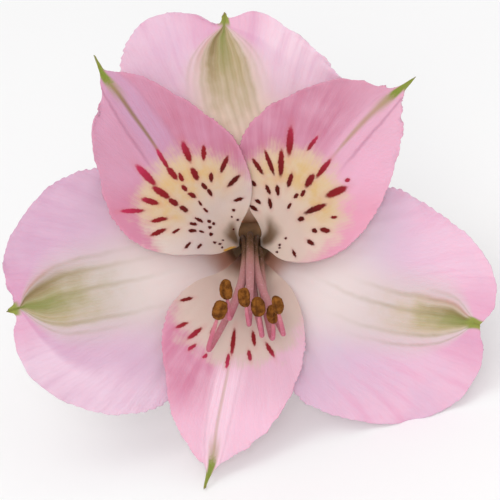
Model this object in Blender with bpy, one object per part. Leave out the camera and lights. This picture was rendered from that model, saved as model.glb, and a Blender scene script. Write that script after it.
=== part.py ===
"""One alstroemeria bloom with its ovary and its own flower stalk, as picked and laid on a table.

World units are metres, +Z up, the table at Z = 0. The bloom is shaped in a frame of its own, in
millimetres: the axis of the flower is Z and points out of its face, Y points to the top tepal, and the
throat opens round the origin. Bearings are degrees, anticlockwise from X for someone who faces the bloom.
The empty "flower" lays that frame down, so that the bloom rests on two tepals and on its stalk.
"""

import math

import bmesh
import bpy
import numpy as np
from mathutils import Vector

MM = 0.001

# How the bloom lies: its face leans back from upright by this angle, after a roll about its own axis.
FACE_LEAN = 61.7
FACE_ROLL = -14.6
THROAT_PLACE = (1.845, -24.818, 27.122)

# Both whorls of tepals follow a trumpet: depth = mouth - flare / (radius - bore).
OUTER_BELL = dict(mouth=4.04, flare=67.3, bore=1.0)
INNER_BELL = dict(mouth=8.31, flare=85.3, bore=-0.39)
TEPAL_THICKNESS = 0.7
TEPAL_COLUMNS = 12
LINES_PER_ROW = 2

# Waves and bends come in from the throat out to the full limb, by radius, and waves and grooves die out
# where the tepal is narrower than this to a side. A groove's width is a share of that side.
LIMB_START = 8.0
LIMB_FULL = 26.0
NARROW_SIDE = 7.0
GROOVE_WIDTH = 0.22

# The claws of the tepals stand round the crown of the ovary, and the stamens inside them.
CLAW_BASE = -24.0
SEAT_GAP = 0.3
OVARY_RIBS = 6
OVARY_RIB_DEPTH = 0.06
OVARY_DEPTHS = (0, 0, 0.5, 2.0, 4.0, 6.0, 7.5, 9.0)
OVARY_GIRTHS = (2.4, 3.67, 3.95, 3.95, 3.5, 2.45, 1.6, 1.2)
STALK_RADIUS = 1.15
STALK_LENGTH = 42.0
STALK_BEND = 28.3
STALK_PIECES = 12
STALK_SIDES = 24
SHARP_ANGLE = 50.0

# The filaments stand in a ring, straight up the throat for a while, and swell towards their bend.
FILAMENT_RING = 1.2
FILAMENT_RADIUS = 0.42
FILAMENT_SWELL = 1.25
FILAMENT_TAPER = 0.7
FILAMENT_RISE = 9.0
FILAMENT_PIECES = 3
STYLE_RADIUS = 0.3
STYLE_KNOTS = ((0, 0, CLAW_BASE), (0, 0, -15), (0, -1.25, -5))
STYLE_PIECES = 8
STIGMA_START = 1.6
STIGMA_SWELL = 1.5

# An anther is an egg, narrowed by this share along the groove down its front and back.
ANTHER_LENGTH = 2.9
ANTHER_WIDTH = 2.0
ANTHER_DEPTH = 1.6
ANTHER_SIDES = 12
ANTHER_RINGS = 8
ANTHER_GROOVE = 0.22
ANTHER_GROOVE_WIDTH = 0.16

# Each row of a tepal is one line across it, from the claw to the tip, as seen from the front:
# left bearing, left radius, midrib bearing, midrib radius, right bearing, right radius.
TOP_OUTER = (
    (128, 3.4, 90, 3.4, 52, 3.4),
    (124, 3.9, 90, 3.9, 56, 3.9),
    (122, 4.8, 90, 4.8, 58, 4.8),
    (124, 7.2, 90, 7, 56, 7.2),
    (128, 13.5, 92, 13, 52, 13.5),
    (130.5, 21.5, 97, 20, 53, 20.5),
    (130, 28, 98, 26, 58, 26),
    (124.5, 33, 97.8, 29.6, 67, 28.6),
    (115, 35.8, 97.4, 30.5, 79, 31.4),
    (105.5, 34.5, 97.1, 31, 88, 33.7),
    (99, 31.9, 96.8, 31.8, 94.7, 32.8),
    (96.9, 33.3, 96.3, 33.6, 95.7, 33.4),
)
LEFT_OUTER = (
    (248, 3.4, 210, 3.4, 172, 3.4),
    (244, 3.9, 210, 3.9, 176, 3.9),
    (241, 4.8, 211, 4.8, 181, 4.8),
    (238, 7.2, 207, 7, 177, 7.2),
    (239, 13.5, 203, 13, 167, 13),
    (243.5, 20, 199.5, 19.5, 158, 19),
    (243.5, 26, 197.6, 26, 154, 24),
    (234.5, 31.2, 197, 31, 162, 29.2),
    (222, 35.3, 196.4, 33, 171.5, 32.7),
    (210.5, 37.3, 196, 33.8, 181, 35.4),
    (202.5, 37.1, 196, 34.4, 189, 35.9),
    (197.8, 35.7, 196, 35.1, 194, 35.2),
    (196.5, 36.5, 196, 36.8, 195.5, 36.5),
)
RIGHT_OUTER = (
    (8, 3.4, -30, 3.4, -68, 3.4),
    (4, 3.9, -30, 3.9, -64, 3.9),
    (-2, 4.8, -32, 4.8, -62, 4.8),
    (0, 7.2, -33, 7, -65, 7.2),
    (9, 13, -31.5, 13, -71, 13),
    (20, 18.5, -28.5, 19.5, -75.5, 19),
    (21.5, 22.3, -24.5, 26, -72, 24),
    (10, 27.9, -21.8, 30.5, -61, 29.4),
    (-0.5, 32.8, -20.8, 33, -50, 34.5),
    (-9, 36, -20.3, 33.8, -38, 38),
    (-15, 36.7, -20, 34.3, -28, 38.1),
    (-18, 36.1, -19.9, 34.9, -22.3, 36.2),
    (-19.5, 35.7, -19.9, 35.5, -20.4, 35.7),
)
UPPER_LEFT_INNER = (
    (192, 2.25, 150, 2.25, 108, 2.25),
    (196, 2.7, 150, 2.7, 104, 2.7),
    (200, 3.5, 150, 3.5, 100, 3.5),
    (200, 5, 147, 4.8, 95.5, 4.9),
    (193.5, 7.8, 142, 7.8, 92.5, 7.6),
    (189, 11.6, 138.5, 12, 94, 11.2),
    (181, 16.3, 136.5, 16.5, 99, 15.4),
    (170, 20.2, 134, 20.8, 108, 19),
    (157, 23.9, 132.6, 24.9, 117, 24),
    (145, 28.3, 131.7, 28, 122.5, 28.2),
    (137.5, 29.8, 131.5, 30.1, 127, 30.5),
    (132.4, 32, 131.3, 32.2, 130.2, 32.4),
    (130.2, 35.3, 129.9, 35.6, 129.6, 35.3),
)
UPPER_RIGHT_INNER = (
    (72, 2.25, 30, 2.25, -12, 2.25),
    (76, 2.7, 30, 2.7, -16, 2.7),
    (80, 3.5, 30, 3.5, -24, 3.5),
    (84.5, 4.9, 34, 4.8, -29, 5),
    (88.5, 7.6, 41, 7.8, -23, 7.6),
    (90.3, 11.2, 44, 12, -10, 11.9),
    (91.5, 14.8, 45.6, 16.3, 2, 15.4),
    (83, 19.4, 46.5, 20.6, 14, 18.9),
    (71, 23, 46.6, 24.5, 25, 22.8),
    (59, 27.2, 46.2, 27.6, 34, 26.7),
    (50.5, 29.1, 45.8, 29.4, 40.5, 29.1),
    (46.6, 30.6, 45.5, 30.6, 44.4, 30.4),
    (45.2, 33.4, 44.9, 33.7, 44.6, 33.3),
)
LOWER_INNER = (
    (310, 2.25, 270, 2.25, 230, 2.25),
    (309, 2.7, 270, 2.7, 231, 2.7),
    (307, 3.5, 269, 3.5, 231, 3.5),
    (309, 5.3, 266, 5, 227, 5.6),
    (312, 8.5, 263, 8.2, 216.5, 9.4),
    (306, 12.8, 261.5, 12.8, 218, 14),
    (298, 16.9, 260.6, 17.5, 226.5, 18.5),
    (289, 21, 260, 22.5, 237, 22.6),
    (281, 25, 259.8, 26.4, 245, 27.2),
    (274, 28.5, 260, 29.4, 251.5, 30),
    (267, 30.6, 260.2, 31.2, 256, 32.1),
    (261.6, 33.1, 260.2, 33.3, 258.9, 33),
    (259.7, 36.2, 259.4, 36.5, 259.1, 36.2),
)

# name, material, rows, trumpet, then in millimetres how far the limb bends forward by its tip, how deep
# its midrib groove is and how high its waves are, and last the turns and the starting angle of the waves.
TEPALS = (
    ("outer_tepal_top", "outer_tepal", TOP_OUTER, OUTER_BELL, -1.0, 0.2, 0.7, 2.2, 0.4),
    ("outer_tepal_left", "outer_tepal", LEFT_OUTER, OUTER_BELL, 0.3, 0.2, 0.7, 2.4, 1.9),
    ("outer_tepal_right", "outer_tepal", RIGHT_OUTER, OUTER_BELL, -0.4, 0.2, 0.8, 2.0, 3.1),
    ("inner_tepal_upper_left", "inner_tepal", UPPER_LEFT_INNER, INNER_BELL, 1.2, 0.5, 0.5, 2.5, 0.9),
    ("inner_tepal_upper_right", "inner_tepal", UPPER_RIGHT_INNER, INNER_BELL, 1.6, 0.5, 0.5, 2.3, 2.4),
    ("inner_tepal_lower", "inner_tepal", LOWER_INNER, INNER_BELL, -1.4, 0.4, 0.6, 2.1, 4.0),
)

# Bearing of each filament in its ring, then its way out: over the throat, along the lower tepal, round
# its bend in two points and up to the anther, whose middle comes last.
STAMENS = (
    (150, (-1.2, -1.1, -5), (-1.5, -5.4, 4.6), (-2.6, -10.2, 9.6), (-3.0, -10.6, 12.0), (-3.4, -6.9, 15)),
    (210, (-1.2, -2.4, -5), (-1.9, -7.0, 3.4), (-4.6, -13.4, 7.8), (-5.0, -13.6, 10.4), (-4.5, -9.7, 14)),
    (90, (0, 0, -5), (0, -4.9, 5.2), (-0.1, -11.0, 9.4), (-0.4, -11.4, 11.6), (-1.1, -7.9, 14.8)),
    (270, (0, -2.7, -5), (0, -7.2, 3.2), (1.6, -12.7, 7.8), (1.6, -13.0, 10.2), (1.0, -9.4, 13.4)),
    (30, (1.2, -1.1, -5), (1.6, -5.4, 4.6), (4.6, -11.2, 10.2), (5.0, -11.6, 13.0), (4.1, -8.3, 16.4)),
    (330, (1.2, -2.4, -5), (1.9, -7.0, 3.4), (2.9, -13.2, 6.6), (3.2, -13.9, 9.0), (3.0, -10.6, 12.0)),
)

# Colours are linear red, green, blue.
FINISHES = {
    "outer_tepal": ((0.79, 0.49, 0.67), 0.6),
    "inner_tepal": ((0.67, 0.25, 0.37), 0.6),
    "stalk": ((0.16, 0.27, 0.06), 0.55),
    "filament": ((0.62, 0.17, 0.29), 0.5),
    "anther": ((0.26, 0.10, 0.02), 0.85),
    "style": ((0.66, 0.34, 0.40), 0.5),
}


def clear_scene():
    for old in list(bpy.data.objects):
        bpy.data.objects.remove(old, do_unlink=True)


def finish(name):
    """The material of one kind of piece, made once and then shared."""
    material = bpy.data.materials.get(name)
    if material is None:
        colour, roughness = FINISHES[name]
        material = bpy.data.materials.new(name)
        material.use_nodes = True
        shader = material.node_tree.nodes["Principled BSDF"]
        shader.inputs["Base Color"].default_value = (*colour, 1.0)
        shader.inputs["Roughness"].default_value = roughness
        shader.inputs["Metallic"].default_value = 0.0
    return material


def add_piece(name, data, flower, material):
    """Puts a mesh or curve into the scene as a piece of the flower."""
    piece = bpy.data.objects.new(name, data)
    bpy.context.collection.objects.link(piece)
    piece.parent = flower
    data.materials.append(finish(material))
    return piece


def through_rows(rows, at):
    """Catmull-Rom curve through the rows. A position in `at` counts rows and may lie between two."""
    rows = np.asarray(rows, float)
    first = np.clip(at.astype(int), 0, len(rows) - 2)
    part = (at - first)[:, None]
    padded = np.vstack([2 * rows[0] - rows[1], rows, 2 * rows[-1] - rows[-2]])
    before, start, end, after = (padded[first + step] for step in range(4))
    square = 2 * before - 5 * start + 4 * end - after
    cube = 3 * (start - end) + after - before
    return start + 0.5 * part * (end - before + part * (square + part * cube))


def tepal_surface(rows, bell, bend, groove, wave, turns, start):
    """Points of a tepal's middle surface, one line of them across for each step from claw to tip.

    Bearing runs evenly from the midrib to each margin, and radius with the square of that share. Depth is
    the trumpet's, plus the bend of the limb, less a bell curve along the midrib for its groove, plus waves
    that grow with the fourth power of the share.
    """
    steps = LINES_PER_ROW * (len(rows) - 1)
    at = np.linspace(0, len(rows) - 1, steps + 1)
    lines = through_rows(rows, at).T[:, :, None]
    left_bearing, left_radius, rib_bearing, rib_radius, right_bearing, right_radius = lines
    across = np.linspace(1, -1, TEPAL_COLUMNS + 1)[None, :]
    spread = np.where(across > 0, left_bearing - rib_bearing, rib_bearing - right_bearing)
    bearing = np.radians(rib_bearing + spread * across)
    edge_radius = np.where(across > 0, left_radius, right_radius)
    radius = rib_radius + (edge_radius - rib_radius) * across**2
    limb = np.clip((radius - LIMB_START) / (LIMB_FULL - LIMB_START), 0, 1)
    relief = limb * np.clip(rib_radius * np.radians(spread) / NARROW_SIDE, 0, 1)
    ripple = np.sin(2 * math.pi * turns * at[:, None] / at[-1] + start + across)
    depth = bell["mouth"] - bell["flare"] / (radius - bell["bore"])
    depth = depth + bend * limb**2 - groove * relief * np.exp(-((across / GROOVE_WIDTH) ** 2))
    depth = depth + wave * relief * across**4 * ripple
    return np.stack([radius * np.cos(bearing), radius * np.sin(bearing), depth], axis=2)


def make_tepal(flower, name, material, *shape):
    """A sheet of triangles given its thickness evenly to both sides."""
    points = tepal_surface(*shape)
    lines, columns = points.shape[:2]
    index = np.arange(lines * columns).reshape(lines, columns)
    near, beside = index[:-1, :-1], index[:-1, 1:]
    far, across = index[1:, :-1], index[1:, 1:]
    lower = np.stack([near, beside, across], axis=2).reshape(-1, 3)
    upper = np.stack([near, across, far], axis=2).reshape(-1, 3)
    mesh = bpy.data.meshes.new(name)
    mesh.from_pydata((points.reshape(-1, 3) * MM).tolist(), [], np.vstack([lower, upper]).tolist())
    mesh.shade_smooth()
    tepal = add_piece(name, mesh, flower, material)
    body = tepal.modifiers.new("thickness", "SOLIDIFY")
    body.thickness = TEPAL_THICKNESS * MM
    body.offset = 0


def make_tube(flower, name, material, points, radii):
    """A six-sided strand through the points, with closed ends."""
    curve = bpy.data.curves.new(name, "CURVE")
    curve.dimensions = "3D"
    curve.bevel_depth = MM
    curve.bevel_resolution = 1
    curve.use_fill_caps = True
    spline = curve.splines.new("POLY")
    spline.points.add(len(points) - 1)
    for knot, point, radius in zip(spline.points, points, radii):
        knot.co = (*(Vector(point) * MM), 1.0)
        knot.radius = radius
    return add_piece(name, curve, flower, material)


def make_anther(flower, name, middle, along):
    """An egg of pollen sacs with a groove down its front and back."""
    mesh = bpy.data.meshes.new(name)
    shape = bmesh.new()
    bmesh.ops.create_uvsphere(shape, u_segments=ANTHER_SIDES, v_segments=ANTHER_RINGS, radius=0.5)
    turn = Vector((0, 0, 1)).rotation_difference(Vector(along)).to_matrix()
    for vertex in shape.verts:
        x, y, z = vertex.co
        groove = 1 - ANTHER_GROOVE * math.exp(-((x / ANTHER_GROOVE_WIDTH) ** 2))
        egg = Vector((x * ANTHER_WIDTH, y * ANTHER_DEPTH * groove, z * ANTHER_LENGTH))
        vertex.co = (turn @ egg + Vector(middle)) * MM
    shape.to_mesh(mesh)
    shape.free()
    mesh.shade_smooth()
    add_piece(name, mesh, flower, "anther")


def make_stamen(flower, number, ring_bearing, over, along, into_bend, out_of_bend, middle):
    """A filament from the crown of the ovary to its anther, and the anther a hair off its end."""
    turn = math.radians(ring_bearing)
    ring = np.array([FILAMENT_RING * math.cos(turn), FILAMENT_RING * math.sin(turn), CLAW_BASE])
    lean = (Vector(middle) - Vector(out_of_bend)).normalized()
    end = Vector(middle) - lean * (ANTHER_LENGTH / 2 + SEAT_GAP)
    knots = np.array([ring, ring + (0, 0, FILAMENT_RISE), over, along, into_bend, out_of_bend, end])
    at = np.linspace(0, len(knots) - 1, FILAMENT_PIECES * (len(knots) - 1) + 1)
    shares = np.interp(at, [0, 2, 5, 6], [1, 1, FILAMENT_SWELL, FILAMENT_TAPER])
    make_tube(flower, f"filament_{number}", "filament", through_rows(knots, at), shares * FILAMENT_RADIUS)
    make_anther(flower, f"anther_{number}", middle, lean)


def make_style(flower):
    """The style among the filaments, swelling to its stigma."""
    last = len(STYLE_KNOTS) - 1
    at = np.linspace(0, last, STYLE_PIECES + 1)
    shares = np.interp(at, [0, STIGMA_START, last], [1, 1, STIGMA_SWELL])
    make_tube(flower, "style", "style", through_rows(STYLE_KNOTS, at), shares * STYLE_RADIUS)


def make_stalk(flower):
    """Ovary and stalk as one body: ribbed rings down the ovary, then round ones along an arc."""
    top = CLAW_BASE - SEAT_GAP
    arc_radius = STALK_LENGTH / math.radians(STALK_BEND)
    side = math.radians(90 - FACE_ROLL)
    axis = Vector((0, 0, 1))
    sideways = Vector((math.cos(side), math.sin(side), 0))
    beside = axis.cross(sideways)
    stations = [(depth, 0.0, 0.0, radius) for depth, radius in zip(OVARY_DEPTHS, OVARY_GIRTHS)]
    for piece in range(1, STALK_PIECES + 1):
        angle = math.radians(STALK_BEND) * piece / STALK_PIECES
        depth = OVARY_DEPTHS[-1] + arc_radius * math.sin(angle)
        stations.append((depth, arc_radius * (1 - math.cos(angle)), angle, STALK_RADIUS))
    shape = bmesh.new()
    rings = []
    for depth, shift, angle, radius in stations:
        centre = axis * (top - depth) + sideways * shift
        outward = sideways * math.cos(angle) + axis * math.sin(angle)
        ribs = OVARY_RIB_DEPTH * radius / max(OVARY_GIRTHS)
        ring = []
        for step in range(STALK_SIDES):
            turn = 2 * math.pi * step / STALK_SIDES
            reach = radius * (1 + ribs * math.cos(OVARY_RIBS * turn))
            point = centre + (outward * math.cos(turn) + beside * math.sin(turn)) * reach
            ring.append(shape.verts.new(point * MM))
        rings.append(ring)
    for upper, lower in zip(rings, rings[1:]):
        for step in range(STALK_SIDES):
            after = (step + 1) % STALK_SIDES
            shape.faces.new((upper[step], lower[step], lower[after], upper[after]))
    shape.faces.new(rings[0])
    shape.faces.new(list(reversed(rings[-1])))
    mesh = bpy.data.meshes.new("pedicel_and_ovary")
    shape.to_mesh(mesh)
    shape.free()
    mesh.shade_smooth()
    mesh.set_sharp_from_angle(angle=math.radians(SHARP_ANGLE))
    add_piece("pedicel_and_ovary", mesh, flower, "stalk")


def main():
    clear_scene()
    flower = bpy.data.objects.new("flower", None)
    bpy.context.collection.objects.link(flower)
    flower.rotation_mode = "ZYX"
    flower.rotation_euler = (math.radians(FACE_LEAN), 0, math.radians(FACE_ROLL))
    flower.location = Vector(THROAT_PLACE) * MM
    for name, material, *shape in TEPALS:
        make_tepal(flower, name, material, *shape)
    for number, stamen in enumerate(STAMENS, 1):
        make_stamen(flower, number, *stamen)
    make_style(flower)
    make_stalk(flower)


main()
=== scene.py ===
"""One pink alstroemeria bloom on its own stalk, laid on a pale table and seen square to its face.

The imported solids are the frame. Every piece is made again at its full fineness, in the bloom's own frame in
millimetres: Z is the axis of the flower and points out of its face, Y points to the top tepal, and the
throat opens round the origin. Bearings are degrees, anticlockwise from X for someone who faces the bloom.
"""

import math
from functools import reduce

import bpy
import numpy as np
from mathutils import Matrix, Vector


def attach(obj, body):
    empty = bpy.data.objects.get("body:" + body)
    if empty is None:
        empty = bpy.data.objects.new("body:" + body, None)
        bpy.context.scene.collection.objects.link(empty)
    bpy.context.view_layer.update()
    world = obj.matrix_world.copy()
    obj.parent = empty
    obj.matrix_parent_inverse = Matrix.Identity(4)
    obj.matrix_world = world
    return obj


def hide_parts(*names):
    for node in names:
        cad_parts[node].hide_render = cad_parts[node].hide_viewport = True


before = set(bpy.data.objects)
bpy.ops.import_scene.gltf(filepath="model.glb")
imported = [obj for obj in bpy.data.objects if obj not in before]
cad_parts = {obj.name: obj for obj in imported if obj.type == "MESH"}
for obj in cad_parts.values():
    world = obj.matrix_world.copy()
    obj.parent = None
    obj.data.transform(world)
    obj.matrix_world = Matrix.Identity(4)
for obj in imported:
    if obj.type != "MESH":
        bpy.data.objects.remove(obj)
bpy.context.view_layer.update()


# Ovary and stalk: one green body. The ovary under the tepals has six low ribs and narrows into a thin
# stalk, which bends a little under the bloom and ends in a clean cut.
MM = 0.001
FACE_LEAN = math.radians(61.7)
FACE_ROLL = math.radians(-14.6)
THROAT_PLACE = (1.845, -24.818, 27.122)
PRESSED = 0.1 * MM
CROWN = -24.3
OVARY_DEPTHS = (0, 0.02, 0.12, 0.5, 2.0, 4.0, 6.0, 7.5, 9.0)
OVARY_RADII = (0.4, 3.3, 3.62, 3.84, 3.95, 3.5, 2.45, 1.6, 1.2)
OVARY_RINGS = 90
OVARY_RIBS = 6
RIB_HEIGHT = 0.07
FIBRES = 17
FIBRE_HEIGHT = 0.012
STALK_RADIUS = 1.15
STALK_LENGTH = 42.0
STALK_BEND = math.radians(28.3)
STALK_RINGS = 130
STALK_SIDES = 96
CUT_END = OVARY_DEPTHS[-1] + STALK_LENGTH


def through(knots, at):
    """Catmull-Rom curve through the knots. A position in `at` counts knots and may lie between two.

    Between two knots it is a cubic of the way there. Its slope at a knot is half the step from the knot
    before to the knot after. Past either end the knots are taken to go on evenly.
    """
    knots = np.asarray(knots, float)
    first = np.clip(at.astype(int), 0, len(knots) - 2)
    part = (at - first)[:, None]
    padded = np.vstack([2 * knots[0] - knots[1], knots, 2 * knots[-1] - knots[-2]])
    before, start, end, after = (padded[first + step] for step in range(4))
    square = 2 * before - 5 * start + 4 * end - after
    cube = 3 * (start - end) + after - before
    return start + 0.5 * part * (end - before + part * (square + part * cube))


def in_world(points):
    """Points of the bloom's frame laid down, from millimetres to metres: a roll about Z, a lean about X."""
    level, steep = math.cos(FACE_LEAN), math.sin(FACE_LEAN)
    upright, askew = math.cos(FACE_ROLL), math.sin(FACE_ROLL)
    lean = np.array([[1, 0, 0], [0, level, -steep], [0, steep, level]])
    roll = np.array([[upright, -askew, 0], [askew, upright, 0], [0, 0, 1]])
    return (points @ (lean @ roll).T + THROAT_PLACE) * MM


def add_loft(name, rings, material, node, marks=None):
    """`rings` counts ring, point and axis, in millimetres. Quads join each ring to the next, and a row of
    quads zips each end ring shut. `marks` are per-point numbers that the material reads: a pair goes into
    a UV map, and a single number into an attribute. Height above the table becomes the mean of itself and
    of its hypotenuse with a tenth of a millimetre, so that what lies on the table is pressed up off it.
    """
    count, around = rings.shape[:2]
    index = np.arange(count * around).reshape(count, around)
    turned = np.roll(index, -1, axis=1)
    sides = np.stack([index[:-1], turned[:-1], turned[1:], index[1:]], axis=2).reshape(-1, 4)
    half = np.arange(around // 2 - 1)
    zipper = np.stack([half, around - 1 - half, around - 2 - half, half + 1], axis=1)
    faces = np.vstack([sides, index[0][zipper], index[-1][zipper[:, ::-1]]])
    points = in_world(rings.reshape(-1, 3))
    points[:, 2] = (points[:, 2] + np.hypot(points[:, 2], PRESSED)) / 2
    corners = points[faces]
    turns = np.cross(corners[:, 2] - corners[:, 0], corners[:, 3] - corners[:, 1])
    if (corners[:, 0] * turns).sum() < 0:
        faces = faces[:, ::-1]
    mesh = bpy.data.meshes.new(name)
    mesh.vertices.add(len(points))
    mesh.vertices.foreach_set("co", points.astype(np.float32).ravel())
    mesh.loops.add(faces.size)
    mesh.loops.foreach_set("vertex_index", faces.astype(np.int32).ravel())
    mesh.polygons.add(len(faces))
    mesh.polygons.foreach_set("loop_start", np.arange(0, faces.size, 4, dtype=np.int32))
    mesh.update()
    mesh.shade_smooth()
    for mark, values in (marks or {}).items():
        if values.ndim == 3:
            layer = mesh.uv_layers.new(name=mark)
            layer.data.foreach_set("uv", values.reshape(-1, 2)[faces.ravel()].astype(np.float32).ravel())
        else:
            layer = mesh.attributes.new(mark, "FLOAT", "POINT")
            layer.data.foreach_set("value", values.astype(np.float32).ravel())
    mesh.materials.append(material)
    piece = bpy.data.objects.new(name, mesh)
    bpy.context.scene.collection.objects.link(piece)
    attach(piece, "root")
    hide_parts(node)
    return piece


class Wire:
    """One output of a material's nodes. Arithmetic on a wire adds Math nodes to the material."""

    def __init__(self, tree, socket=None):
        self.tree = tree
        self.socket = socket

    def node(self, kind, settings, inputs, output=0):
        """The output of a new node. Its settings are set first, then the value or the wire of each input."""
        made = self.tree.nodes.new("ShaderNode" + kind)
        for name, value in settings.items():
            setattr(made, name, value)
        for name, value in inputs.items():
            if isinstance(value, Wire):
                self.tree.links.new(value.socket, made.inputs[name])
            else:
                made.inputs[name].default_value = value
        return Wire(self.tree, made.outputs[output] if made.outputs else None)

    def math(self, operation, first, second=0.0):
        return self.node("Math", {"operation": operation}, {0: first, 1: second})

    def __add__(self, other):
        return self.math("ADD", self, other)

    __radd__ = __add__

    def __sub__(self, other):
        return self.math("SUBTRACT", self, other)

    def __rsub__(self, other):
        return self.math("SUBTRACT", other, self)

    def __mul__(self, other):
        return self.math("MULTIPLY", self, other)

    __rmul__ = __mul__

    def __truediv__(self, other):
        return self.math("DIVIDE", self, other)

    def __abs__(self):
        return self.math("ABSOLUTE", self)

    def least(self, other):
        return self.math("MINIMUM", self, other)

    def most(self, other):
        return self.math("MAXIMUM", self, other)

    def sine(self):
        return self.math("SINE", self)

    def rise(self, low, high):
        """Nought at `low`, one at `high` and smooth between them. It falls where `low` is the greater."""
        inputs = {"Value": self, "From Min": low, "From Max": high}
        return self.node("MapRange", {"interpolation_type": "SMOOTHSTEP"}, inputs)

    def near(self, middle, width):
        """One at `middle`, and nought from `width` away on either side."""
        return abs(self - middle).rise(width, 0.0)

    def noise(self, scale, detail=2.0, stretch=None):
        """Cloudy noise from nought to one over this wire's places, `scale` lumps to a unit."""
        place = self
        if stretch is not None:
            place = self.node("VectorMath", {"operation": "MULTIPLY"}, {0: self, 1: stretch})
        return self.node("TexNoise", {}, {"Vector": place, "Scale": scale, "Detail": detail})

    def tint(self, under, over):
        """Colour `under` where this wire is nought, and colour `over` where it is one."""
        return self.node("Mix", {"data_type": "RGBA"}, {0: self, 6: under, 7: over}, 2)


def colour(red, green, blue):
    """A colour given as on a screen, from 0 to 255, as the light it stands for."""
    share = np.array([red, green, blue]) / 255
    light = np.where(share > 0.04045, ((share + 0.055) / 1.055) ** 2.4, share / 12.92)
    return (*light.tolist(), 1.0)


def new_finish(name):
    """An empty material, and a wire that its nodes can be made from."""
    material = bpy.data.materials.new(name)
    material.use_nodes = True
    material.node_tree.nodes.clear()
    return material, Wire(material.node_tree)


def finish_with(wire, base, roughness, height, subsurface=0.0, glow=(1.0, 0.4, 0.4), gloss=0.2):
    """Ends a material in a Principled shader. Height is in millimetres and feeds its bump.

    `glow` is how far red, green and blue light run on inside the tissue, in halves of a millimetre.
    """
    bump = wire.node("Bump", {}, {"Strength": 1.0, "Distance": MM, "Height": height})
    inputs = {"Base Color": base, "Roughness": roughness, "Normal": bump}
    inputs.update({"Subsurface Weight": subsurface, "Subsurface Radius": glow, "Subsurface Scale": 0.5 * MM})
    inputs["Specular IOR Level"] = gloss
    shader = wire.node("BsdfPrincipled", {}, inputs)
    wire.node("OutputMaterial", {}, {"Surface": shader})


def stalk_rings():
    """Rings down the ovary and along the stalk's arc, with each point's length from the crown and its rib.

    Radius follows the ovary's radii, then the stalk's, which is thinner by a product of two sines and full
    at its cut end. Six ribs are a cosine of the turn and fade with the square of the radius, and fine
    fibres are another. The arc turns towards the bloom's low side by the bend over its length.
    """
    profile = np.column_stack([OVARY_DEPTHS, OVARY_RADII])
    down = through(profile, np.linspace(0, len(profile) - 1, OVARY_RINGS))
    straight = np.zeros(OVARY_RINGS)
    arc = np.linspace(0, 1, STALK_RINGS + 1)[1:]
    to_cut = (1 - arc) * STALK_LENGTH
    swell = 1 + 0.05 * np.exp(-(to_cut**2)) + 0.02 * np.sin(arc * 31) * np.sin(arc * 13)
    sweep = STALK_LENGTH / STALK_BEND
    depth = np.concatenate([down[:, 0], OVARY_DEPTHS[-1] + sweep * np.sin(arc * STALK_BEND)])
    aside = np.concatenate([straight, sweep * (1 - np.cos(arc * STALK_BEND))])
    angle = np.concatenate([straight, arc * STALK_BEND])[:, None]
    radius = np.concatenate([down[:, 1], STALK_RADIUS * np.minimum(swell, 1.0)])[:, None]
    turn = np.linspace(0, 2 * math.pi, STALK_SIDES + 1)[None, :-1]
    ribs = RIB_HEIGHT * (radius / max(OVARY_RADII)) ** 2 * np.cos(OVARY_RIBS * turn)
    reach = radius * (1 + ribs + FIBRE_HEIGHT * np.cos(FIBRES * turn))
    side = math.pi / 2 - FACE_ROLL
    sideways = np.array([math.cos(side), math.sin(side), 0.0])
    beside = np.array([-math.sin(side), math.cos(side), 0.0])
    outward = np.cos(angle)[..., None] * sideways + np.sin(angle)[..., None] * np.array([0, 0, 1.0])
    centre = np.stack([aside * sideways[0], aside * sideways[1], CROWN - depth], axis=1)[:, None, :]
    rings = centre + reach[..., None] * (outward * np.cos(turn)[..., None] + beside * np.sin(turn)[..., None])
    length = np.concatenate([down[:, 0], OVARY_DEPTHS[-1] + arc * STALK_LENGTH])[:, None]
    return rings, length + 0 * turn, np.cos(OVARY_RIBS * turn) + 0 * length


STALK_GREENS = (colour(122, 148, 66), colour(142, 166, 84))
RIB_GREEN = colour(160, 180, 100)
FURROW_GREEN = colour(96, 118, 52)
STALK_FLUSH = colour(150, 92, 72)
CROWN_SHADE_BROWNS = (colour(136, 98, 58), colour(166, 124, 80))
CUT_PITH = colour(198, 202, 150)


def green_skin():
    """Smooth green skin: brown on the crown, partly painted shade, dark between ribs, flushed below the
    ovary, pale at the cut.
    """
    material, wire = new_finish("green_stalk_skin")
    place = wire.node("TexCoord", {}, {}, "Object")
    length = wire.node("Attribute", {"attribute_name": "length"}, {}, "Fac")
    rib = wire.node("Attribute", {"attribute_name": "rib"}, {}, "Fac")
    cloud = place.noise(260, 3)
    fibre = place.noise(900, 2)
    ovary = length.rise(8, 5)
    base = cloud.rise(0.35, 0.7).tint(*STALK_GREENS)
    base = (rib.rise(-1, 1) * ovary).tint(base, RIB_GREEN)
    base = (rib.rise(0.2, -1) * ovary * 0.6).tint(base, FURROW_GREEN)
    base = (length.near(14, 10) * cloud.rise(0.4, 0.7) * 0.55).tint(base, STALK_FLUSH)
    # Painted shade, partly: the crown is browned to the dark it shows deep in the throat.
    crown = place.noise(700, 2).rise(0.3, 0.7).tint(*CROWN_SHADE_BROWNS)
    base = (length.rise(0.7, 0.2) * 0.95).tint(base, crown)
    base = length.rise(CUT_END - 0.04, CUT_END).tint(base, CUT_PITH)
    finish_with(wire, base, 0.42 + 0.15 * fibre, 0.03 * fibre + 0.05 * cloud, 0.12, (0.5, 0.8, 0.2), 0.4)
    return material


rings, length, rib = stalk_rings()
add_loft("ovary_and_stalk", rings, green_skin(), "pedicel_and_ovary", {"length": length, "rib": rib})


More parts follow.
